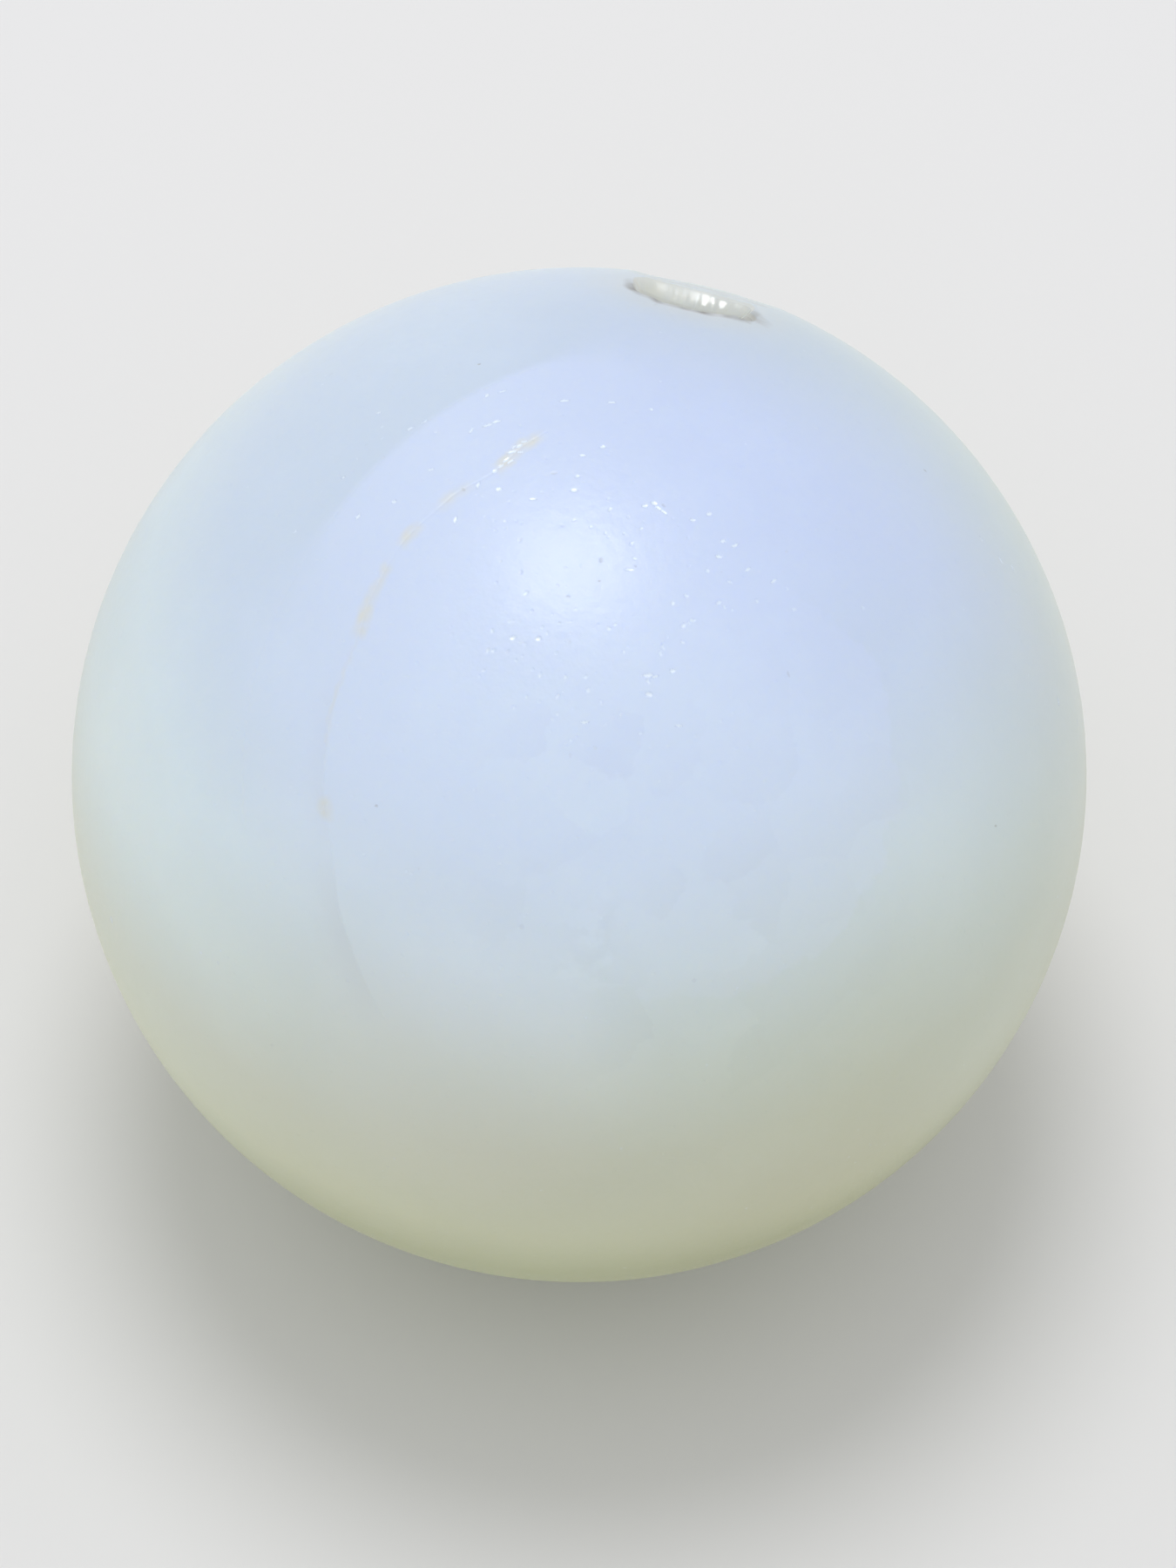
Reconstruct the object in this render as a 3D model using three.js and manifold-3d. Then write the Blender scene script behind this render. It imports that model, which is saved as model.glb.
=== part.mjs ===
// Cue ball: one solid ball cast in milky resin, with a chip near its top and two hairline cracks.
// Millimetres, +Z up, with the origin at the ball's centre. The ball rests at (0, 0, -radius).

import * as THREE from 'three';
import { mergeVertices } from 'three/addons/utils/BufferGeometryUtils.js';
import Module from 'manifold-3d';

const wasm = await Module();
wasm.setup();

// Ball
const ball_diameter = 57.15;
const ball_facet_rows = 18;

// Chip: a shell-shaped scar, flat in the middle of its floor and steep at its lip, and squarer on
// its far side. A blow on the left of that side threw the splinter off.
const chip_azimuth_deg = 69.5;
const chip_elevation_deg = 51;
const chip_turn_deg = 9;
const chip_length = 6.9;
const chip_width = 5.9;
const chip_depth = 1.4;
const chip_blow_deg = 128;
const chip_far_power = 5;
const round_power = 2;
const floor_power = 4;
const chip_sectors = 72;

// Ripples: low rings round the blow, each further out than the last by one factor, and higher
const first_ring = 0.61;
const ring_growth = 1.39;
const ring_height_share = 0.065;
const crest_power = 3;
const ring_facets = 7;

// Flake: a thin scale that came away behind the chip, which leaves the ball a little flat there
const flake_azimuth_deg = 72;
const flake_elevation_deg = 39.5;
const flake_length = 8.8;
const flake_width = 8.6;
const flake_depth = 0.24;
const flake_rings = 10;
const flake_sectors = 48;

// Spall: a splinter lost from the chip's lip, at its right end
const spall_along = 3.1;
const spall_across = -0.9;
const spall_length = 1.5;
const spall_width = 2.0;
const spall_depth = 0.45;
const spall_rings = 5;
const spall_sectors = 32;

// Cracks: two hairlines that run part of the way round one axis of the ball
const crack_axis_azimuth_deg = -61;
const crack_axis_elevation_deg = 48.5;
const crack_ring_facets = 120;
const inner_crack = { off_axis_deg: 47.2, middle_deg: -130, span_deg: 104, width: 0.36, depth: 0.3 };
const outer_crack = { off_axis_deg: 57.7, middle_deg: -146, span_deg: 76, width: 0.3, depth: 0.16 };

// How far a cutter stands out of the ball, how much wider than its scar it is made, and the widest
// sliver that a cut may leave
const cutter_overrun = 2;
const cutter_margin_share = 1.25;
const widest_sliver = 0.01;

const ball_radius = ball_diameter / 2;
const radians = THREE.MathUtils.degToRad;

// Solid from a closed three.js geometry
function solidOf(geometry) {
  geometry.deleteAttribute('normal');
  geometry.deleteAttribute('uv');
  const welded = mergeVertices(geometry);
  return new wasm.Manifold(new wasm.Mesh({
    numProp: 3,
    vertProperties: welded.attributes.position.array,
    triVerts: Uint32Array.from(welded.index.array),
  }));
}

// Geometry from a finished solid, with one flat normal to each facet
function geometryOf(solid) {
  const { vertProperties, triVerts } = solid.getMesh();
  const geometry = new THREE.BufferGeometry();
  geometry.setAttribute('position', new THREE.BufferAttribute(vertProperties, 3));
  geometry.setIndex(new THREE.BufferAttribute(triVerts, 1));
  const faceted = geometry.toNonIndexed();
  faceted.computeVertexNormals();
  return faceted;
}

// Turns a cutter made round +Z so that its +Z points out of the ball at a place on the ball. Its
// +X points west along the ball there, and the turn takes it anticlockwise, seen from outside.
function turnToPlace(geometry, azimuth_deg, elevation_deg, turn_deg = 0) {
  geometry.rotateZ(radians(turn_deg - 90));
  geometry.rotateY(radians(90 - elevation_deg));
  geometry.rotateZ(radians(azimuth_deg));
  return geometry;
}

// Height of the ball's surface over a point this far from the axis through its centre
function skinHeight(off_axis) {
  return Math.sqrt(ball_radius ** 2 - off_axis ** 2);
}

// How far a point is from the middle of a scar: 0 there, and 1 at its lip. The power sets the
// outline, which is an ellipse at 2 and squarer above it.
function reachOf(x, y, length, width, power) {
  return (Math.abs(2 * x / length) ** power + Math.abs(2 * y / width) ** power) ** (1 / power);
}

// A cutter that stands on a shaped floor: rings of points round a middle, each point as high as
// heightOf says for its place across the scar, with a flat lid clear of the ball
function scarCutter(radii, sectors, middle, heightOf) {
  const lid = ball_radius + 2 * cutter_overrun;
  const profile = radii.map((radius) => new THREE.Vector2(radius, 0));
  profile.push(new THREE.Vector2(radii.at(-1), lid), new THREE.Vector2(0, lid));
  const geometry = new THREE.LatheGeometry(profile, sectors);
  geometry.rotateX(radians(90));
  geometry.translate(middle.x, middle.y, 0);
  const place = geometry.attributes.position;
  for (let i = 0; i < place.count; i++) {
    if (place.getZ(i) < lid / 2) {
      place.setZ(i, Math.min(heightOf(place.getX(i), place.getY(i)), ball_radius + cutter_overrun));
    }
  }
  return geometry;
}

// Radii of evenly spaced rings, out past the lip of a scar of this size
function evenRadii(size, rings) {
  const outermost = cutter_margin_share * size / 2;
  return Array.from({ length: rings + 1 }, (_, ring) => outermost * ring / rings);
}

function chipCutter() {
  const blow = new THREE.Vector2(chip_length / 2 * Math.cos(radians(chip_blow_deg)),
    chip_width / 2 * Math.sin(radians(chip_blow_deg)));
  const radii = [0, first_ring / 2];
  while (radii.at(-1) < Math.hypot(chip_length, chip_width)) {
    radii.push(radii.at(-1) * ring_growth ** (1 / ring_facets));
  }
  const floorHeight = (x, y) => {
    const reach = reachOf(x, y, chip_length, chip_width, y > 0 ? chip_far_power : round_power);
    const distance = Math.max(Math.hypot(x - blow.x, y - blow.y), first_ring / 2);
    const crest_share = Math.cos(Math.PI * Math.log(distance / first_ring) / Math.log(ring_growth));
    const ring_height = ring_height_share * distance ** 2 / chip_length;
    return skinHeight(chip_length / 2) + chip_depth * (reach ** floor_power - 1)
      + ring_height * Math.abs(crest_share) ** crest_power;
  };
  const geometry = scarCutter(radii, chip_sectors, blow, floorHeight);
  return solidOf(turnToPlace(geometry, chip_azimuth_deg, chip_elevation_deg, chip_turn_deg));
}

function flakeCutter() {
  const floorHeight = (x, y) => {
    const reach = reachOf(x, y, flake_length, flake_width, round_power);
    return skinHeight(Math.hypot(x, y)) + flake_depth * (reach ** floor_power - 1);
  };
  const radii = evenRadii(flake_length, flake_rings);
  const geometry = scarCutter(radii, flake_sectors, new THREE.Vector2(), floorHeight);
  return solidOf(turnToPlace(geometry, flake_azimuth_deg, flake_elevation_deg));
}

function spallCutter() {
  const middle = new THREE.Vector2(spall_along, spall_across);
  const floorHeight = (x, y) => {
    const reach = reachOf(x - middle.x, y - middle.y, spall_length, spall_width, round_power);
    return skinHeight(middle.length()) + spall_depth * (reach ** round_power - 1);
  };
  const radii = evenRadii(spall_width, spall_rings);
  const geometry = scarCutter(radii, spall_sectors, middle, floorHeight);
  return solidOf(turnToPlace(geometry, chip_azimuth_deg, chip_elevation_deg, chip_turn_deg));
}

// A crack is cut by a V-shaped ring turned round the crack axis. The ring is larger than the
// crack's circle and is moved sideways, so that it is deepest at the crack's middle and leaves the
// ball at both of its ends.
function crackCutter({ off_axis_deg, middle_deg, span_deg, width, depth }) {
  const end_share = Math.cos(radians(span_deg / 2));
  const lift = depth * end_share / (1 - end_share);
  const sideways = (depth + lift) / Math.sin(radians(off_axis_deg));
  const half_width = width / 2 * (depth + cutter_overrun) / depth;
  const outward = new THREE.Vector2(0, 1).rotateAround(new THREE.Vector2(), radians(-off_axis_deg));
  const along = outward.clone().rotateAround(new THREE.Vector2(), radians(-90));
  const tip = outward.clone().multiplyScalar(ball_radius + lift);
  const top = outward.clone().multiplyScalar(ball_radius + lift + depth + cutter_overrun);
  const near = top.clone().addScaledVector(along, -half_width);
  const far = top.clone().addScaledVector(along, half_width);
  const geometry = new THREE.LatheGeometry([tip, far, near, tip.clone()], crack_ring_facets);
  geometry.rotateX(radians(90));
  const middle = radians(middle_deg + 90);
  geometry.translate(-sideways * Math.cos(middle), -sideways * Math.sin(middle), 0);
  return solidOf(turnToPlace(geometry, crack_axis_azimuth_deg, crack_axis_elevation_deg));
}

function cueBall() {
  const cutters = [flakeCutter(), chipCutter(), spallCutter(), crackCutter(inner_crack),
    crackCutter(outer_crack)];
  let worn = solidOf(new THREE.IcosahedronGeometry(ball_radius, ball_facet_rows - 1));
  for (const cutter of cutters) {
    worn = worn.subtract(cutter);
  }
  const clean = worn.asOriginal().simplify(widest_sliver);
  const resin = new THREE.MeshStandardMaterial({ color: 0xc7d2db, roughness: 0.42, metalness: 0 });
  const mesh = new THREE.Mesh(geometryOf(clean), resin);
  mesh.name = 'cue_ball';
  return mesh;
}

const model = new THREE.Group();
model.add(cueBall());

export default model;
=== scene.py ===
import math
import random
from collections import namedtuple

import bmesh
import bpy
from mathutils import Matrix, Vector, kdtree, noise
from mathutils.geometry import intersect_line_sphere


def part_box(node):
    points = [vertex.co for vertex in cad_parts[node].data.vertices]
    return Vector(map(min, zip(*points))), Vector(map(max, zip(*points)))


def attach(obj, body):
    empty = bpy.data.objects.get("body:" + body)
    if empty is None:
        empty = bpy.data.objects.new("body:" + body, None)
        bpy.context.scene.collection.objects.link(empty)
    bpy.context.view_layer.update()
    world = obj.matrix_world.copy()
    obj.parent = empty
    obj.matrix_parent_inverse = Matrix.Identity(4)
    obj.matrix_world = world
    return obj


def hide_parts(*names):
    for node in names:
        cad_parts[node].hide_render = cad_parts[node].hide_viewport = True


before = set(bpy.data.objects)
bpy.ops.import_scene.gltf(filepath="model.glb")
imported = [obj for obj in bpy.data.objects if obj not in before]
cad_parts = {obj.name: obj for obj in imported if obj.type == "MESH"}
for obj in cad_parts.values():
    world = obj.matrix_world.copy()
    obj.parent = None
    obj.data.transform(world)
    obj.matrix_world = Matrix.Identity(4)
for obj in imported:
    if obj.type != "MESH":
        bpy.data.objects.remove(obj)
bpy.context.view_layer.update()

# Camera: a long lens, well above the ball and square to the front. The ball lies a little left
# of the picture's middle and a little above it, so the lens is shifted by that much.
picture_width_px = 1350
picture_height_px = 1800
ball_centre_px = (664.9, 889.4)
ball_radius_px = 582.6
camera_elevation_deg = 55
camera_distance_radii = 14
sensor_mm = 36

ball_low, ball_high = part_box("cue_ball")
ball_radius = (ball_high.z - ball_low.z) / 2
elevation = math.radians(camera_elevation_deg)
towards_camera = Vector((0, -math.cos(elevation), math.sin(elevation)))
focal_px = ball_radius_px / math.tan(math.asin(1 / camera_distance_radii))

lens = bpy.data.cameras.new("lens")
lens.sensor_width = sensor_mm
lens.lens = sensor_mm * focal_px / picture_height_px
lens.shift_x = (picture_width_px / 2 - ball_centre_px[0]) / picture_height_px
lens.shift_y = (ball_centre_px[1] - picture_height_px / 2) / picture_height_px
camera = bpy.data.objects.new("camera", lens)
camera.location = towards_camera * ball_radius * camera_distance_radii
camera.rotation_euler = (math.radians(90) - elevation, 0, 0)
bpy.context.scene.collection.objects.link(camera)
bpy.context.scene.camera = camera


# Ball: one solid sphere, cast in milky resin in a round mould and polished. Years of play have
# dulled it and pitted it, knocked a chip out near its top and opened two hairline cracks.
# The mesh is an icosphere, made finer wherever there is a mark, and each mark is pressed into it.
mm = 0.001
ball_rounds = 6


def turn_to_place(azimuth_deg, elevation_deg, turn_deg=0):
    """Turns a flat mark so that its +Z points out of the ball there and its +X points west."""
    tilt = Matrix.Rotation(math.radians(90 - elevation_deg), 3, "Y")
    turn = Matrix.Rotation(math.radians(turn_deg - 90), 3, "Z")
    return Matrix.Rotation(math.radians(azimuth_deg), 3, "Z") @ tilt @ turn


def outward_at(azimuth_deg, elevation_deg):
    """The direction from the ball's centre to a place on it."""
    return turn_to_place(azimuth_deg, elevation_deg) @ Vector((0, 0, 1))


def smooth(low, high, value):
    """Rises smoothly from 0 to 1 as the value goes from low to high."""
    share = min(max((value - low) / (high - low), 0), 1)
    return share * share * (3 - 2 * share)


def rounded_min(first, second, rounding):
    """The lower of two heights, with the ridge where they meet rounded off."""
    overlap = max(rounding - abs(first - second), 0)
    return min(first, second) - overlap * overlap / (4 * rounding)


# Scars: each has a floor that is flat in its middle and steep at its uneven lip
scar_floor_power = 4
lip_unevenness = 0.05
lip_grain = 1.1 * mm


def scar_reach(flat, length, width, far_power=2, unevenness=lip_unevenness, grain=lip_grain):
    """How far a point of a scar's own frame is from its middle: 0 there, and 1 at its uneven lip."""
    uneven = 1 + unevenness * noise.noise(flat.xy.to_3d() / grain)
    power = far_power if flat.y > 0 else 2
    along = abs(flat.x / (length / 2))
    across = abs(flat.y / (width / 2))
    return (along ** power + across ** power) ** (1 / power) * uneven


# Chip: a shell-shaped scar, squarer on its far side. Rings spread over it from the blow that
# threw the splinter off, each further out than the last by one factor, and higher.
chip_turn = turn_to_place(69.5, 51, 9)
chip_length = 6.9 * mm
chip_width = 5.9 * mm
chip_depth = 1.4 * mm
chip_far_power = 5
chip_blow_deg = 128
chip_floor_unevenness = 0.035 * mm
chip_floor_grain = 0.9 * mm
first_ring = 0.61 * mm
ring_growth = 1.39
ring_height_share = 0.065
crest_power = 3
far_lip_rounding = 0.4 * mm
chip_mouth_height = math.sqrt(ball_radius ** 2 - (chip_length / 2) ** 2)
chip_blow = Vector((chip_length / 2 * math.cos(math.radians(chip_blow_deg)),
                    chip_width / 2 * math.sin(math.radians(chip_blow_deg))))


def chip_floor(flat):
    """Height of the chip's floor in its own frame, from the ball's centre."""
    floor = chip_depth * (scar_reach(flat, chip_length, chip_width, chip_far_power) ** scar_floor_power - 1)
    floor += chip_floor_unevenness * noise.noise(flat.xy.to_3d() / chip_floor_grain)
    distance = max(math.hypot(flat.x - chip_blow.x, flat.y - chip_blow.y), first_ring / 2)
    crest = abs(math.cos(math.pi * math.log(distance / first_ring) / math.log(ring_growth))) ** crest_power
    return chip_mouth_height + floor + ring_height_share * distance * distance / chip_length * crest


# Spall: a splinter lost from the lip of the chip, placed in the chip's own frame
spall_middle = Vector((3.1 * mm, -0.9 * mm))
spall_length = 1.5 * mm
spall_width = 2.0 * mm
spall_depth = 0.45 * mm
spall_mouth_height = math.sqrt(ball_radius ** 2 - spall_middle.length ** 2)


def spall_floor(flat):
    """Height of the spall's floor in the chip's own frame, from the ball's centre."""
    along = (flat.x - spall_middle.x) / (spall_length / 2)
    across = (flat.y - spall_middle.y) / (spall_width / 2)
    reach = math.hypot(along, across)
    return spall_mouth_height + spall_depth * (reach ** 2 - 1)


# Flake: a thin scale that came away behind the chip, which leaves the ball a little flat there
flake_turn = turn_to_place(72, 39.5)
flake_length = 8.8 * mm
flake_width = 8.6 * mm
flake_depth = 0.24 * mm
flake_unevenness = 0.2
flake_grain = 2.6 * mm


def flake_drop(point):
    """How far the flake's scar lies below the true ball at this point."""
    flat = flake_turn.transposed() @ point
    reach = scar_reach(flat, flake_length, flake_width, 2, flake_unevenness, flake_grain)
    inside = 1 - reach ** scar_floor_power
    return flake_depth * max(inside, 0) if flat.z > 0 else 0


# Cracks: both run round one axis of the ball. A path is (degrees round the axis, degrees off it),
# and the degrees round it are counted up from the least.
crack_turn = turn_to_place(-61, 48.5)
inner_crack_path = [(-179, 47.5), (-176, 47.3), (-169, 46.3), (-161, 47.3), (-152, 47.9), (-144, 47.5),
                    (-136, 46.7), (-125, 47.2), (-114, 47.0), (-104, 46.5), (-93, 47.1), (-78, 47.6)]
outer_crack_path = [(-184, 57.3), (-170, 57.9), (-150, 57.5), (-128, 58.0), (-108, 57.6)]
inner_crack_width = 0.14 * mm
inner_crack_depth = 0.025 * mm
outer_crack_width = 0.12 * mm
outer_crack_depth = 0.02 * mm
crack_grain = 0.9 * mm
crack_width_unevenness = 0.5
crack_depth_unevenness = 0.6
least_round_deg = -190


def on_path(path, round_deg):
    """Degrees off the axis of a crack's path, at this many degrees round it, or None past its ends."""
    for (start, off_start), (end, off_end) in zip(path, path[1:]):
        if start <= round_deg <= end:
            return off_start + (off_end - off_start) * smooth(start, end, round_deg)
    return None


def crack_offsets(point):
    """Degrees round the crack axis, and how far the point lies outside each crack along the ball."""
    flat = crack_turn.transposed() @ point
    round_deg = math.degrees(math.atan2(flat.y, flat.x)) - 90
    round_deg += 360 if round_deg < least_round_deg else 0
    off_deg = math.degrees(math.acos(min(flat.z / flat.length, 1)))
    offsets = []
    for path in (inner_crack_path, outer_crack_path):
        path_deg = on_path(path, round_deg)
        offsets.append(None if path_deg is None else math.radians(off_deg - path_deg) * ball_radius)
    return round_deg, offsets


# Small marks: dents, each longer than it is wide. The longest ones are narrower for their length.
Mark = namedtuple("Mark", "turn length width depth pale dirt")
marks = []
mark_width_share = 0.62
long_mark = 0.5 * mm


def turn_along(outward, across):
    """Turns a flat mark so that its +Z points outward and its +X lies as near to across as it can."""
    along = (across - outward * across.dot(outward)).normalized()
    return Matrix((along, outward.cross(along), outward)).transposed()


def seen_at(x_px, y_px, turn_deg):
    """Turns a flat mark to what shows at this pixel, with its +X turned this far in the picture."""
    ray = Vector((x_px - ball_centre_px[0], ball_centre_px[1] - y_px, -focal_px))
    ray.rotate(camera.rotation_euler)
    hits = intersect_line_sphere(camera.location, camera.location + ray, Vector(), ball_radius, False)
    outward = min(hits, key=lambda hit: (hit - camera.location).length).normalized()
    across = Vector((math.cos(math.radians(turn_deg)), math.sin(math.radians(turn_deg)), 0))
    across.rotate(camera.rotation_euler)
    return turn_along(outward, across)


def add_mark(turn, length, narrowing, depth_share, pale, dirt):
    """Notes one small mark. A long one is narrower than the others by the narrowing."""
    width = length * mark_width_share / (narrowing if length >= long_mark else 1)
    marks.append(Mark(turn, length, width, width * depth_share, pale, dirt))


# Nicks: shallow dents with shiny, crushed floors. Each is (picture x, picture y, turn in degrees,
# length of its floor in mm).
clear_nicks = [(612, 573, 0, 0.36), (751, 578, -30, 0.34), (755, 583, -45, 0.4), (762, 588, -40, 0.4),
               (740, 581, 0, 0.3), (722, 654, 0, 0.42), (744, 775, 5, 0.5), (752, 777, 20, 0.36),
               (772, 770, 20, 0.3), (671, 829, 0, 0.42), (779, 833, 0, 0.36), (589, 732, 0, 0.32),
               (659, 563, 0, 0.34), (814, 590, 30, 0.3), (844, 626, 35, 0.42), (830, 621, 20, 0.3),
               (858, 654, 40, 0.36), (825, 639, 0, 0.3), (888, 667, 40, 0.4), (577, 449, 35, 0.42),
               (559, 454, 70, 0.32), (560, 488, 20, 0.5), (570, 484, 15, 0.5), (541, 494, 80, 0.42),
               (596, 512, 40, 0.44), (588, 519, 20, 0.46), (581, 528, 45, 0.46), (602, 507, 10, 0.36),
               (590, 513, 60, 0.36), (597, 519, 0, 0.36), (586, 530, 40, 0.4), (575, 535, 40, 0.4),
               (568, 541, 40, 0.3), (648, 460, 10, 0.5), (702, 462, 10, 0.42), (692, 513, 10, 0.3),
               (669, 523, 0, 0.36), (748, 470, 0, 0.24), (573, 562, 20, 0.32), (549, 557, 80, 0.4),
               (618, 733, 0, 0.3), (745, 797, 0, 0.34), (795, 597, 0, 0.28), (1127, 619, -45, 0.4),
               (1149, 643, -40, 0.48), (1162, 651, -40, 0.4), (1215, 805, -80, 0.48),
               (1237, 829, -80, 0.36), (471, 492, 35, 0.4), (487, 484, 30, 0.36), (494, 539, 0, 0.36),
               (452, 576, 0, 0.3), (411, 593, 60, 0.34), (523, 597, 80, 0.4), (394, 548, 0, 0.22),
               (339, 610, 0, 0.2), (435, 474, 0, 0.22), (128, 1056, 60, 0.44)]
faint_nicks = [(659, 597), (663, 547), (700, 585), (678, 605), (695, 612), (725, 623), (728, 641),
               (736, 607), (788, 684), (772, 692), (795, 712), (784, 718), (706, 717), (699, 721),
               (565, 724), (560, 747), (566, 747), (555, 770), (620, 775), (649, 777), (672, 777),
               (761, 743), (716, 748), (784, 737), (604, 681), (825, 692), (832, 697), (841, 700),
               (791, 715), (758, 750), (675, 792), (744, 782), (812, 655), (838, 668), (869, 690),
               (904, 676), (912, 700), (640, 799), (690, 806), (712, 820), (735, 842), (655, 850),
               (604, 800), (590, 812), (640, 820)]
faint_nick_sizes = (0.18, 0.3)
faint_nick_paleness = 0.45
half_turn_deg = 180
nick_rim_share = 1.4
nick_depth_share = 0.12
nick_narrowing = 2
wear_seed = 7
dice = random.Random(wear_seed)

for x_px, y_px, turn_deg, core_length in clear_nicks:
    length = core_length * nick_rim_share * mm
    add_mark(seen_at(x_px, y_px, turn_deg), length, nick_narrowing, nick_depth_share, 1, 0)
for x_px, y_px in faint_nicks:
    length = dice.uniform(*faint_nick_sizes) * nick_rim_share * mm
    turn = seen_at(x_px, y_px, dice.uniform(0, half_turn_deg))
    add_mark(turn, length, nick_narrowing, nick_depth_share, faint_nick_paleness, 0)

# Specks: pits that dirt has filled. Each is (picture x, picture y, turn in degrees, length in mm, dirt).
specks = [(690, 643, 80, 0.36, 0.25), (688, 667, 40, 0.18, 0.4), (652, 685, 0, 0.28, 0.2),
          (597, 620, 80, 0.34, 0.06), (598, 657, 80, 0.34, 0.06), (645, 603, -40, 0.3, 0.05),
          (636, 543, 0, 0.4, 0.1), (642, 715, 0, 0.24, 0.1), (432, 925, 0, 0.24, 0.35),
          (1143, 948, 0, 0.26, 0.4), (550, 418, 0, 0.24, 0.5), (1062, 540, 0, 0.26, 0.4),
          (905, 774, -75, 0.5, 0.2), (730, 650, 0, 0.2, 0.3), (762, 580, -45, 0.3, 0.2),
          (532, 562, -60, 0.3, 0.25)]
speck_depth_share = 0.1
speck_narrowing = 3
for x_px, y_px, turn_deg, length, dirt in specks:
    add_mark(seen_at(x_px, y_px, turn_deg), length * mm, speck_narrowing, speck_depth_share, 0, dirt)

# Pits: the many more that are scattered all over the ball. Some lie in groups where it struck others.
lone_pit_count = 240
pit_group_count = 22
pits_in_group = 6
pit_group_spread = 0.075
pit_sizes = (0.14, 0.3)
pit_width_shares = (0.6, 1)
pit_depth_share = 0.06
pit_paleness = (0.1, 0.2, 0.3)
pit_dirt = (0, 0, 0, 0, 0, 0.1)


def random_direction():
    """A random direction, even over the ball."""
    height = dice.uniform(-1, 1)
    azimuth = dice.uniform(-math.pi, math.pi)
    level = math.sqrt(1 - height * height)
    return Vector((level * math.cos(azimuth), level * math.sin(azimuth), height))


pit_directions = [random_direction() for pit in range(lone_pit_count)]
for group in range(pit_group_count):
    middle = random_direction()
    for pit in range(pits_in_group):
        pit_directions.append((middle + random_direction() * pit_group_spread * dice.random()).normalized())
for direction in pit_directions:
    length = dice.uniform(*pit_sizes) * mm
    width = length * dice.uniform(*pit_width_shares)
    turn = turn_along(direction, random_direction())
    pale = dice.choice(pit_paleness)
    dirt = dice.choice(pit_dirt)
    marks.append(Mark(turn, length, width, width * pit_depth_share, pale, dirt))

mark_finder = kdtree.KDTree(len(marks))
for index, mark in enumerate(marks):
    mark_finder.insert(mark.turn @ Vector((0, 0, ball_radius)), index)
mark_finder.balance()
longest_mark = max(mark.length for mark in marks)

# Fineness: the mesh is halved wherever its edges are longer than the marks there need
halvings = 4
halving_slack = 1.4
finest_edge = 0.055 * mm
flake_edge = 3 * finest_edge
stained_edge = 2 * finest_edge
chip_margin_share = 1.15
crack_band = 1.2 * mm
crack_core = 0.2 * mm
mark_margin_share = 0.6
edges_across_mark = 5


def wanted_edge(point, half_length):
    """The longest edge that the mesh may have here, round the middle of an edge that is this long."""
    flat = chip_turn.transposed() @ point
    if flat.z > 0:
        reach = scar_reach(flat, chip_length, chip_width, chip_far_power)
        if reach < chip_margin_share or spall_floor(flat) < flat.z:
            return finest_edge
    edge = flake_edge if flake_drop(point) > 0 else math.inf
    for offset in crack_offsets(point)[1]:
        if offset is not None and abs(offset) < crack_band:
            edge = finest_edge if abs(offset) < crack_core else stained_edge
    for place, index, distance in mark_finder.find_range(point, longest_mark + half_length):
        mark = marks[index]
        if distance < mark.length * mark_margin_share + half_length:
            edge = min(edge, max(mark.width / edges_across_mark, finest_edge))
    return edge


ball_bm = bmesh.new()
bmesh.ops.create_icosphere(ball_bm, subdivisions=ball_rounds, radius=ball_radius)
for halving in range(halvings):
    coarse = [edge for edge in ball_bm.edges if edge.calc_length() > halving_slack * wanted_edge(
        (edge.verts[0].co + edge.verts[1].co) / 2, edge.calc_length() / 2)]
    near = {side for edge in coarse for face in edge.link_faces for side in face.edges}
    bmesh.ops.subdivide_edges(ball_bm, edges=list(near), cuts=1, use_grid_fill=True)
    bmesh.ops.triangulate(ball_bm, faces=[face for face in ball_bm.faces if len(face.verts) > 3])
    for vertex in ball_bm.verts:
        vertex.co = vertex.co.normalized() * ball_radius

# Each vertex goes down to the floor of the mark it lies in, and notes how much it shows of each of
# these: fresh break, dirt (with painted shade in the chip's deep floor), stain, crushed paleness, painted
# shade and gloss
layers = {name: ball_bm.verts.layers.float.new(name)
          for name in ("broken", "dirt", "stain", "pale", "shade", "glossy")}


def show(vertex, name, share):
    """Lets a vertex show at least this much of one of the layers."""
    vertex[layers[name]] = max(vertex[layers[name]], share)


# In a nick the floor is pale and its rim is dark with painted shade
floor_starts = 0.3
floor_ends = 0.7
rim_ends = 0.25
mark_edge_share = 0.5


def press_marks(vertex, point):
    """Notes what the small marks show at this vertex, and returns how deep the deepest one is."""
    deepest = 0
    for place, index, distance in mark_finder.find_range(point, longest_mark):
        mark = marks[index]
        flat = mark.turn.transposed() @ point
        inside = 1 - (flat.x / (mark.length / 2)) ** 2 - (flat.y / (mark.width / 2)) ** 2
        if inside > 0:
            deepest = max(deepest, mark.depth * inside)
            filled = min(inside / mark_edge_share, 1)
            floor_share = smooth(floor_starts, floor_ends, inside)
            show(vertex, "glossy", mark.pale * filled)
            show(vertex, "pale", mark.pale * floor_share)
            show(vertex, "shade", mark.pale * (1 - floor_share) * smooth(0, rim_ends, inside))
            show(vertex, "dirt", mark.dirt * filled)
    return deepest
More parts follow.
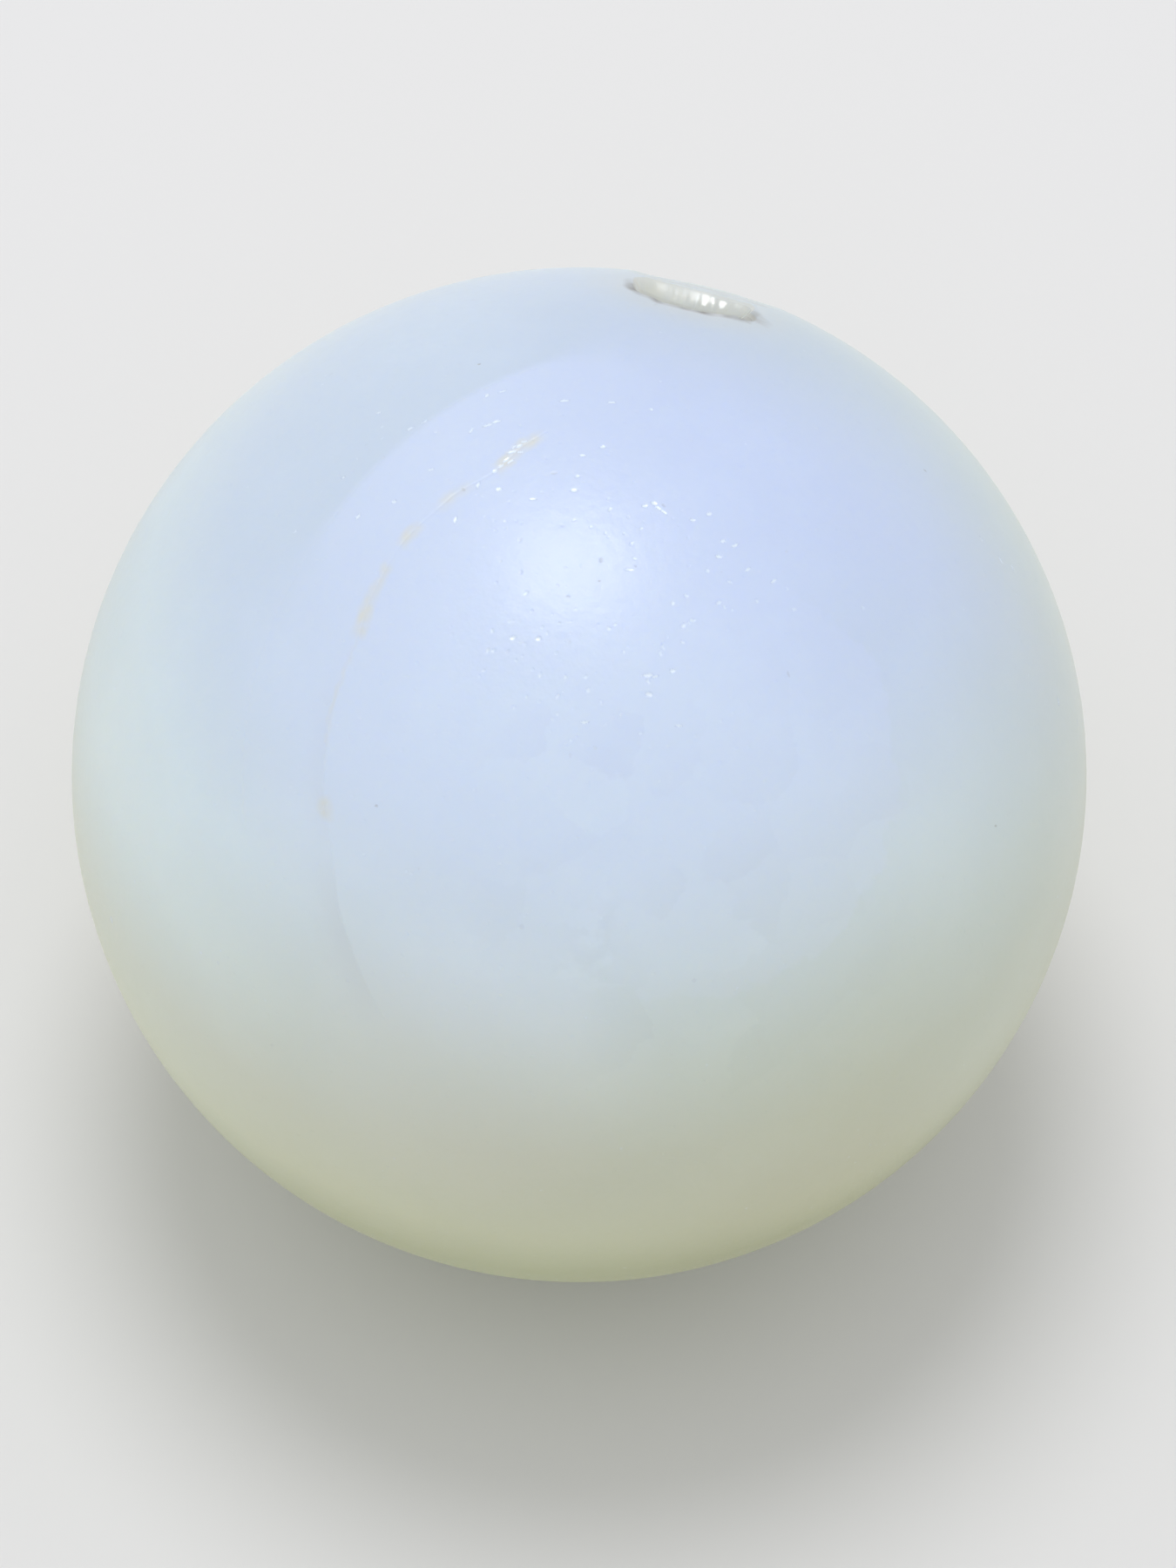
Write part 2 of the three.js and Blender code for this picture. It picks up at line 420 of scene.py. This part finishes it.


# Stains that dirt left in the inner crack, and painted shade: darker bands, with a little stain, outside
# its lower half, which fade away from it. Each is (degrees round the axis, half length in degrees, half
# width, strength).
stains = [(-175.5, 3.5, 0.60 * mm, 0.8), (-171.5, 2.8, 0.60 * mm, 0.9), (-162, 3.6, 0.60 * mm, 0.55),
          (-153.5, 2.6, 0.55 * mm, 0.75), (-145, 4.2, 0.50 * mm, 0.6), (-140, 4.0, 0.62 * mm, 0.85),
          (-127, 11, 0.22 * mm, 0.35), (-111, 2.2, 0.60 * mm, 0.7)]
crack_shade_bands = [(-118, 16, 1.5 * mm, 0.2), (-92, 14, 2.0 * mm, 0.4)]
stain_wander = 0.16 * mm
stain_wander_grain = 0.7 * mm
stain_edge_power = 1.5
blotch_share = 0.75
blotch_unevenness = 0.6
blotch_grain = 0.5 * mm
crack_shade_inner_edge = -0.12 * mm
crack_shade_full_edge = 0.1 * mm
crack_shade_stain_share = 0.3


def press_cracks(vertex, point):
    """Notes the stains and the painted shade beside the cracks at this vertex, and returns how deep a crack
    is there.
    """
    deepest = 0
    round_deg, offsets = crack_offsets(point)
    for offset, width, crack_depth in zip(offsets, (inner_crack_width, outer_crack_width),
                                          (inner_crack_depth, outer_crack_depth)):
        if offset is not None:
            grain = noise.noise(point / crack_grain)
            half_width = width / 2 * (1 + crack_width_unevenness * grain)
            depth = crack_depth * (1 + crack_depth_unevenness * grain)
            deepest = max(deepest, depth * (1 - abs(offset) / half_width))
    if offsets[0] is not None:
        wander = stain_wander * noise.noise(point / stain_wander_grain)
        blotch = blotch_share + blotch_unevenness * noise.noise(point / blotch_grain)
        for middle, half_length, half_width, strength in stains:
            along = max(1 - ((round_deg - middle) / half_length) ** 2, 0)
            across = max(1 - ((offsets[0] + wander) / half_width) ** 2, 0)
            show(vertex, "stain", strength * blotch * along * across ** stain_edge_power)
        # Painted shade beside the crack, with a little stain
        for middle, half_length, half_width, strength in crack_shade_bands:
            along = max(1 - ((round_deg - middle) / half_length) ** 2, 0)
            across = smooth(half_width, 0, offsets[0])
            across *= smooth(crack_shade_inner_edge, crack_shade_full_edge, offsets[0])
            show(vertex, "shade", strength * along * across)
            show(vertex, "stain", crack_shade_stain_share * strength * along * across)
    return deepest


# Grime: it lies in patches along the chip's near lip, and in the deep floor under that lip it lies
# with painted shade; both thin out further in. A faint smudge surrounds the near side. The break's right
# half is glassy.
patch_share = 0.68
patch_unevenness = 0.6
patch_grain = 0.8 * mm
chip_surround = 2
smudge_starts = 1.1
smudge_stain = 0.25
smudge_dirt = 0.03
far_side_shares = (-0.1, 0.3)
least_far_side = 0.01
lip_dirt_core = 0.3 * mm
lip_dirt_outside = 1.6 * mm
lip_dirt_inside = 0.6 * mm
lip_dirt_ends = (1.25, 1.08)
# Painted shade with grime: the chip's floor is darkened where it lies deeper than this slope below the
# mouth
recess_slope = 0.2
recess_edge = (-0.04 * mm, 0.06 * mm)
floor_dirt_and_shade_ends = (1.01, 0.99)
floor_dirt_and_shade_left = 0.2
floor_dirt_and_shade_band = (2 * mm, 1 * mm)
fresh_depth = 0.08 * mm
glassy_depth = (0.1 * mm, 0.3 * mm)
glassy_side = (-0.7 * mm, 0.7 * mm)
stained_side = (2 * mm, -3 * mm)
break_stain = 0.5


def break_chip(vertex, point):
    """Notes what the chip and the spall show at this vertex, and returns the point on their floor."""
    flat = chip_turn.transposed() @ point
    reach = scar_reach(flat, chip_length, chip_width, chip_far_power)
    if flat.z <= 0 or reach >= chip_surround:
        return point
    smudge = smooth(chip_surround, smudge_starts, reach) * smooth(1, 0, flat.y / chip_width)
    show(vertex, "stain", smudge_stain * smudge)
    show(vertex, "dirt", smudge_dirt * smudge)
    patchy = patch_share + patch_unevenness * noise.noise(point / patch_grain)
    far_side = smooth(*far_side_shares, flat.y / chip_width)
    broken_floor = min(chip_floor(flat), spall_floor(flat))
    spread = lip_dirt_outside if broken_floor > flat.z else lip_dirt_inside
    lip_dirt = smooth(spread, lip_dirt_core, abs(broken_floor - flat.z))
    lip_dirt *= (1 - far_side) * smooth(*lip_dirt_ends, reach)
    floor = rounded_min(broken_floor, flat.z, far_lip_rounding * max(far_side, least_far_side))
    near_lip = chip_width / 2 * math.sqrt(max(1 - (flat.x / (chip_length / 2)) ** 2, 0))
    # Painted shade, mixed with grime, in the deep floor just past the near lip
    recess_depth = recess_slope * (flat.y + near_lip)
    floor_dirt_and_shade = smooth(*recess_edge, chip_mouth_height - floor - recess_depth)
    floor_dirt_and_shade *= smooth(*floor_dirt_and_shade_ends, reach)
    floor_dirt_and_shade *= floor_dirt_and_shade_left + (1 - floor_dirt_and_shade_left) * smooth(*floor_dirt_and_shade_band, flat.y + near_lip)
    if floor < flat.z:
        broken = smooth(0, fresh_depth, flat.z - floor)
        show(vertex, "broken", broken)
        for name in ("pale", "shade", "dirt"):
            vertex[layers[name]] *= 1 - broken
        vertex[layers["glossy"]] = smooth(*glassy_depth, flat.z - floor) * smooth(*glassy_side, flat.x)
        show(vertex, "stain", broken * patchy * smooth(*stained_side, flat.x) * break_stain)
        flat.z = floor
        point = chip_turn @ flat
    # The dirt layer takes grime along the lip, and painted shade with grime in the deep floor
    show(vertex, "dirt", patchy * max(lip_dirt, floor_dirt_and_shade))
    return point


# The flake's scar shows fresh break in patches, and less of it towards its lip
flake_break_share = 0.45
flake_break_unevenness = 0.45
flake_break_grain = 1.2 * mm
flake_full_share = 0.7
for vertex in ball_bm.verts:
    point = vertex.co.copy()
    outward = point.normalized()
    depth = flake_drop(point)
    flake_broken = flake_break_share + flake_break_unevenness * noise.noise(point / flake_break_grain)
    show(vertex, "broken", smooth(0, flake_full_share, depth / flake_depth) * flake_broken)
    depth = max(depth, press_marks(vertex, point), press_cracks(vertex, point))
    vertex.co = break_chip(vertex, point - outward * depth)

ball_mesh = bpy.data.meshes.new("ball")
ball_bm.to_mesh(ball_mesh)
ball_bm.free()
ball_mesh.shade_smooth()
ball = bpy.data.objects.new("ball", ball_mesh)
bpy.context.scene.collection.objects.link(ball)

# Resin finish. The body is milky, and its change of colour with height is painted light: bluish at the top,
# where the overhead light scatters back out, and yellowish green and darker low down. The cap inside the
# outer crack is bluer than the rest. The worn skin is satin, and the broken faces are cream and glassy.
# Patterns use Object coordinates, scaled so that 1 is a radius.
resin = bpy.data.materials.new("milky resin")
resin.use_nodes = True
links = resin.node_tree.links
nodes = resin.node_tree.nodes
skin = nodes["Principled BSDF"]


def add(kind, *inputs, **settings):
    """Adds a node, sets it up, and feeds its inputs in order: a socket is linked, a value is set."""
    node = nodes.new("ShaderNode" + kind)
    for name, value in settings.items():
        setattr(node, name, value)
    for socket, value in zip(node.inputs, inputs):
        if isinstance(value, bpy.types.NodeSocket):
            links.new(value, socket)
        elif value is not None:
            socket.default_value = value
    return node


def math_of(operation, *inputs):
    """The result of one sum on these values or sockets."""
    return add("Math", *inputs, operation=operation).outputs[0]


def step(value, low, high, low_to=0, high_to=1):
    """Goes smoothly from one value to another as this value goes from low to high."""
    return add("MapRange", value, low, high, low_to, high_to, interpolation_type="SMOOTHSTEP").outputs[0]


def straight(value, low, high, low_to, high_to):
    """Goes evenly from one value to another as this value goes from low to high."""
    return add("MapRange", value, low, high, low_to, high_to).outputs[0]


def mix(share, first, second, blend_type="MIX"):
    """Mixes two colours by this share."""
    node = add("Mix", data_type="RGBA", blend_type=blend_type)
    for name, value in (("Factor_Float", share), ("A_Color", first), ("B_Color", second)):
        socket = next(one for one in node.inputs if one.identifier == name)
        if isinstance(value, bpy.types.NodeSocket):
            links.new(value, socket)
        else:
            socket.default_value = value
    return next(one for one in node.outputs if one.identifier == "Result_Color")


def ramp(value, stops):
    """A colour that follows these (place, red, green, blue) stops."""
    node = add("ValToRGB", value)
    elements = node.color_ramp.elements
    elements.remove(elements[1])
    for index, (place, *colour) in enumerate(stops):
        stop = elements[0] if index == 0 else elements.new(place)
        stop.position = place
        stop.color = (*colour, 1)
    return node.outputs["Color"]


unit = add("Mapping", add("TexCoord").outputs["Object"], None, None, (1 / ball_radius,) * 3).outputs[0]


def grain_of(scale, detail, roughness):
    """A noise pattern over the ball, this many grains to a radius."""
    return add("TexNoise", unit, None, scale, detail, roughness)


def nearness(direction):
    """The cosine of the angle between this direction and the surface's own, from the ball's centre."""
    return add("VectorMath", unit, tuple(direction), operation="DOT_PRODUCT").outputs["Value"]


def region(direction, outer_deg, inner_deg, most=1):
    """A share that is 0 outside outer_deg of this direction, and the most inside inner_deg of it."""
    outer = math.cos(math.radians(outer_deg))
    inner = math.cos(math.radians(inner_deg))
    return step(nearness(direction), outer, inner, 0, most)


# Body colours, from the bottom of the ball to its top, outside the cap and inside it. The change with
# height is painted light: bluish where the overhead light scatters back out at the top, yellowish green and
# darker low down.
outside_colours = [(0.0, 0.45, 0.485, 0.262), (0.33, 0.495, 0.53, 0.312), (0.43, 0.61, 0.64, 0.445),
                   (0.55, 0.66, 0.70, 0.58), (0.675, 0.71, 0.80, 0.79), (0.775, 0.70, 0.81, 0.88),
                   (0.875, 0.62, 0.725, 0.875), (1.0, 0.58, 0.68, 0.84)]
inside_colours = [(0.0, 0.50, 0.52, 0.33), (0.37, 0.57, 0.59, 0.39), (0.475, 0.58, 0.60, 0.44),
                  (0.575, 0.60, 0.63, 0.51), (0.675, 0.64, 0.70, 0.65), (0.775, 0.67, 0.76, 0.82),
                  (0.875, 0.66, 0.76, 0.93), (1.0, 0.635, 0.735, 0.955)]
height_share = straight(add("SeparateXYZ", unit).outputs["Z"], -1, 1, 0, 1)

# The edge of the cap is crisp along the middle of the outer crack, and a slow change everywhere else
cap_edge_deg = 57.7
crisp_edge_deg = 0.8
soft_edge_deg = 13
crisp_middle_deg = -168
crisp_outer_deg = 29
crisp_inner_deg = 13
edge_cosine = math.cos(math.radians(cap_edge_deg))
edge_slope = math.radians(math.sin(math.radians(cap_edge_deg)))
crisp_middle = crack_turn @ Matrix.Rotation(math.radians(crisp_middle_deg + 90), 3, "Z") @ Vector(
    (math.sin(math.radians(cap_edge_deg)), 0, edge_cosine))
crisp = region(crisp_middle, crisp_outer_deg, crisp_inner_deg)
half_blur = straight(crisp, 0, 1, soft_edge_deg * edge_slope, crisp_edge_deg * edge_slope)
cap = step(nearness(crack_turn @ Vector((0, 0, 1))), math_of("SUBTRACT", edge_cosine, half_blur),
           math_of("ADD", edge_cosine, half_blur))
body = mix(cap, ramp(height_share, outside_colours), ramp(height_share, inside_colours))

# Tints: broad regions where the body is bluer, paler or darker. Each is (azimuth, elevation, reach
# in degrees, colour to multiply by).
# The two darker tints low on the right, at -28 degrees elevation, are painted shade where the underside
# turns towards the floor.
tints = [(24, 49, 53, (0.87, 0.88, 0.93)), (46, 27, 46, (0.99, 0.99, 0.90)),
         (-163, -12, 45, (1.05, 1.07, 1.13)), (-22, 0, 38, (1.0, 1.03, 1.11)),
         (-103, 19, 23, (1.06, 1.05, 1.07)), (140, 62, 60, (0.965, 0.965, 0.95)),
         (-120, 0, 40, (0.98, 0.97, 0.97)), (-58, -28, 38, (0.92, 0.90, 0.88)),
         (-15, -28, 38, (0.84, 0.83, 0.80)), (158, 10, 35, (0.93, 0.96, 1.0))]
for azimuth_deg, elevation_deg, reach_deg, colour in tints:
    tint_region = region(outward_at(azimuth_deg, elevation_deg), reach_deg, 0)
    body = mix(tint_region, body, (*colour, 1), "MULTIPLY")
cap_rim_place = (167, 68)
cap_rim_outer_deg = 30
cap_rim_inner_deg = 8
cap_rim_tint = (0.98, 0.98, 0.985, 1)
cap_rim = region(outward_at(*cap_rim_place), cap_rim_outer_deg, cap_rim_inner_deg)
body = mix(math_of("MULTIPLY", cap, cap_rim), body, cap_rim_tint, "MULTIPLY")

# Wisps: faint clouds in the resin, everywhere
wisp_strength = 0.01
wisp_scale = 2.6
wisp_levels = (0.46, 0.66)
wisp_grain = grain_of(wisp_scale, detail=5, roughness=0.55).outputs[0]
wisps = math_of("MULTIPLY", step(wisp_grain, *wisp_levels, -1, 1), wisp_strength)

# Patches: blocks of cloudier resin low on the front, each crisp at its lower right and faded
# towards its upper left
patch_place = (-73, 42.5)
patch_outer_deg = 32
patch_inner_deg = 16
patch_strength = 0.034
patch_levels = (-1, 0.7)
patch_scale = 7.5
patch_softness = 0.1
patch_raggedness = 0.12
patch_lean_in_picture = Vector((0.75, -0.66, 0))
patch_fade = (-0.06, 0.08)
ragged_scale = 7
noise_middle = 0.5
patch_lean = camera.matrix_basis.to_3x3() @ patch_lean_in_picture
ragged = grain_of(ragged_scale, detail=4, roughness=0.6)
shift = add("VectorMath", ragged.outputs["Color"], (noise_middle,) * 3, operation="SUBTRACT").outputs[0]
shifted = add("VectorMath", shift, (patch_raggedness,) * 3, unit, operation="MULTIPLY_ADD").outputs[0]
cells = add("TexVoronoi", shifted, None, patch_scale, feature="SMOOTH_F1")
cells.inputs["Smoothness"].default_value = patch_softness
cell_level = straight(add("SeparateColor", cells.outputs["Color"]).outputs[0], 0, 1, *patch_levels)
from_middle = add("VectorMath", shifted, cells.outputs["Position"], operation="SUBTRACT").outputs[0]
lean = add("VectorMath", from_middle, tuple(patch_lean), operation="DOT_PRODUCT").outputs["Value"]
patches = math_of("MULTIPLY", cell_level, step(lean, *patch_fade))
patch_region = region(outward_at(*patch_place), patch_outer_deg, patch_inner_deg)
clouds = math_of("MULTIPLY_ADD", math_of("MULTIPLY", patches, patch_region), patch_strength, wisps)

# Scuffs: fine grain low on the right, where the ball has rubbed on what it stood on
scuff_place = (-24, -65)
scuff_outer_deg = 64
scuff_inner_deg = 48
scuff_strength = 0.035
scuff_scale = 150
scuff_levels = (0.3, 0.7)
scuffs = step(grain_of(scuff_scale, detail=1, roughness=0.5).outputs[0], *scuff_levels, -1, 1)
scuff_region = region(outward_at(*scuff_place), scuff_outer_deg, scuff_inner_deg, scuff_strength)
clouds = math_of("MULTIPLY_ADD", scuffs, scuff_region, clouds)
same_hue = 0.5
cloudy = add("HueSaturation", same_hue, 1, None, 1, body)
links.new(math_of("ADD", clouds, 1), cloudy.inputs["Value"])

# Right of the patches the bluer body ends at a ragged edge
body_place = (-69, 53)
body_reach_deg = 24
body_raggedness = 0.09
body_blur = 0.004
body_tint = (0.985, 0.99, 0.965, 1)
right_side_place = (-47, 33)
right_side_cosines = (0.78, 0.93)
body_cosine = math.cos(math.radians(body_reach_deg))
body_nearness = math_of("SUBTRACT", nearness(outward_at(*body_place)), body_raggedness / 2)
body_edge = math_of("MULTIPLY_ADD", ragged.outputs[0], body_raggedness, body_nearness)
outside_body = step(body_edge, body_cosine - body_blur, body_cosine + body_blur, 1, 0)
right_side = step(nearness(outward_at(*right_side_place)), *right_side_cosines)
fogged = mix(math_of("MULTIPLY", outside_body, right_side), cloudy.outputs[0], body_tint, "MULTIPLY")

# Colours of the marks, and how far each covers the body
amber = (0.70, 0.69, 0.57, 1)
amber_cover = 0.75
# Grime's colour also paints the shade in the chip's deep floor
grime_and_shade = (0.17, 0.155, 0.13, 1)
grime_and_shade_cover = 0.8
fresh_break = (0.54, 0.57, 0.555, 1)
fresh_cover = 0.85
crushed = (0.76, 0.86, 1.0, 1)
shadow = (0.85, 0.87, 0.92, 1)
shown = {name: add("Attribute", attribute_name=name).outputs["Fac"] for name in layers}
broken_body = mix(math_of("MULTIPLY", shown["broken"], fresh_cover), fogged, fresh_break)
shaded = mix(shown["shade"], broken_body, shadow, "MULTIPLY")
stained = mix(math_of("MULTIPLY", shown["stain"], amber_cover), shaded, amber)
nicked = mix(shown["pale"], stained, crushed)
dirty = mix(math_of("MULTIPLY", shown["dirt"], grime_and_shade_cover), nicked, grime_and_shade)
links.new(dirty, skin.inputs["Base Color"])

# Gloss: satin on the worn skin, under what is left of a polish, and glassy in the chip and the nicks
satin = 0.5
satin_unevenness = 0.03
glassy = 0.16
polish_left = 0.28
polish_roughness = 0.22
resin_ior = 1.5
resin_specular = 0.75
rub_scale = 9
rub_levels = (0.3, 0.7)
rub_grain = grain_of(rub_scale, detail=3, roughness=0.6).outputs[0]
rubbed = step(rub_grain, *rub_levels, satin - satin_unevenness, satin + satin_unevenness)
links.new(straight(shown["glossy"], 0, 1, rubbed, glassy), skin.inputs["Roughness"])
skin.inputs["IOR"].default_value = resin_ior
skin.inputs["Specular IOR Level"].default_value = resin_specular
skin.inputs["Coat Weight"].default_value = polish_left
skin.inputs["Coat Roughness"].default_value = polish_roughness

# Relief: soft ripples, the fine tooth of a worn surface, and the pits that are too small to model
ripple_height = 1.0
ripple_scale = 42
tooth_height = 0.02
tooth_scale = 220
tiny_pit_height = 0.35
tiny_pit_scale = 34
tiny_pit_walls = (0.06, 0.16)
relief_depth = 0.05 * mm
relief_strength = 0.6
ripples = grain_of(ripple_scale, detail=2, roughness=0.5).outputs[0]
tooth = grain_of(tooth_scale, detail=2, roughness=0.5).outputs[0]
tiny_pit_middles = add("TexVoronoi", unit, None, tiny_pit_scale, feature="F1").outputs["Distance"]
tiny_pits = step(tiny_pit_middles, *tiny_pit_walls)
worn = math_of("MULTIPLY", tiny_pits, math_of("SUBTRACT", 1, shown["broken"]))
fine = math_of("MULTIPLY_ADD", tooth, tooth_height, math_of("MULTIPLY", worn, tiny_pit_height))
relief = math_of("MULTIPLY_ADD", ripples, ripple_height, fine)
bump = add("Bump")
links.new(relief, bump.inputs["Height"])
bump.inputs["Distance"].default_value = relief_depth
bump.inputs["Strength"].default_value = relief_strength
links.new(bump.outputs[0], skin.inputs["Normal"])
links.new(bump.outputs[0], skin.inputs["Coat Normal"])

# Depth: light sinks into the milky body, except where a mark covers it
stain_depth_share = 0.6
scatter_radius = (1, 0.9, 0.75)
scatter_scale = 12 * mm
grimy = math_of("MAXIMUM", shown["dirt"], math_of("MULTIPLY", shown["stain"], stain_depth_share))
covered = math_of("MAXIMUM", grimy, math_of("MAXIMUM", shown["pale"], shown["shade"]))
links.new(math_of("SUBTRACT", 1, covered), skin.inputs["Subsurface Weight"])
skin.inputs["Subsurface Radius"].default_value = scatter_radius
skin.inputs["Subsurface Scale"].default_value = scatter_scale

ball_mesh.materials.append(resin)
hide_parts("cue_ball")
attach(ball, "root")


# Floor: a plain sheet of pale paper that the ball stands on, wide enough to fill every view. It
# isn't part of the object.
floor_radius = 4
floor_sides = 96
paper_colour = (0.80, 0.80, 0.81, 1)
paper_roughness = 0.9
floor_bm = bmesh.new()
bmesh.ops.create_circle(floor_bm, cap_ends=True, segments=floor_sides, radius=floor_radius)
bmesh.ops.translate(floor_bm, verts=floor_bm.verts, vec=(0, 0, ball_low.z))
floor_mesh = bpy.data.meshes.new("floor")
floor_bm.to_mesh(floor_mesh)
floor_bm.free()
floor = bpy.data.objects.new("floor", floor_mesh)
bpy.context.scene.collection.objects.link(floor)
paper = bpy.data.materials.new("pale paper")
paper.use_nodes = True
paper.node_tree.nodes["Principled BSDF"].inputs["Base Color"].default_value = paper_colour
paper.node_tree.nodes["Principled BSDF"].inputs["Roughness"].default_value = paper_roughness
floor_mesh.materials.append(paper)

# Lamp: one soft round studio lamp overhead, a little behind the ball. It makes the highlight near
# the ball's top and the soft shadow under it.
lamp_direction = Vector((-0.029, 0.19, 0.981))
lamp_distance = 0.6
lamp_size = 0.26
lamp_power = 1.2
lamp_light = bpy.data.lights.new("lamp", "AREA")
lamp_light.shape = "DISK"
lamp_light.size = lamp_size
lamp_light.energy = lamp_power
lamp = bpy.data.objects.new("lamp", lamp_light)
lamp.location = lamp_direction * lamp_distance
lamp.rotation_mode = "QUATERNION"
lamp.rotation_quaternion = lamp_direction.to_track_quat("Z", "Y")
bpy.context.scene.collection.objects.link(lamp)

# Sky: even white light from all round. The camera sees a pale backdrop instead of it, past the
# floor's edge.
sky_strength = 0.72
sky_colour = (1, 1, 1, 1)
backdrop_colour = (0.86, 0.87, 0.88, 1)
sky = bpy.data.worlds.new("sky")
sky.use_nodes = True
bpy.context.scene.world = sky
sky_nodes = sky.node_tree.nodes
sky_links = sky.node_tree.links
sky_light = sky_nodes["Background"]
sky_light.inputs["Color"].default_value = sky_colour
sky_light.inputs["Strength"].default_value = sky_strength
backdrop = sky_nodes.new("ShaderNodeBackground")
backdrop.inputs["Color"].default_value = backdrop_colour
rays = sky_nodes.new("ShaderNodeLightPath")
choice = sky_nodes.new("ShaderNodeMixShader")
sky_links.new(rays.outputs["Is Camera Ray"], choice.inputs[0])
sky_links.new(sky_light.outputs[0], choice.inputs[1])
sky_links.new(backdrop.outputs[0], choice.inputs[2])
sky_links.new(choice.outputs[0], sky_nodes["World Output"].inputs["Surface"])

bpy.context.scene.view_settings.view_transform = "Standard"
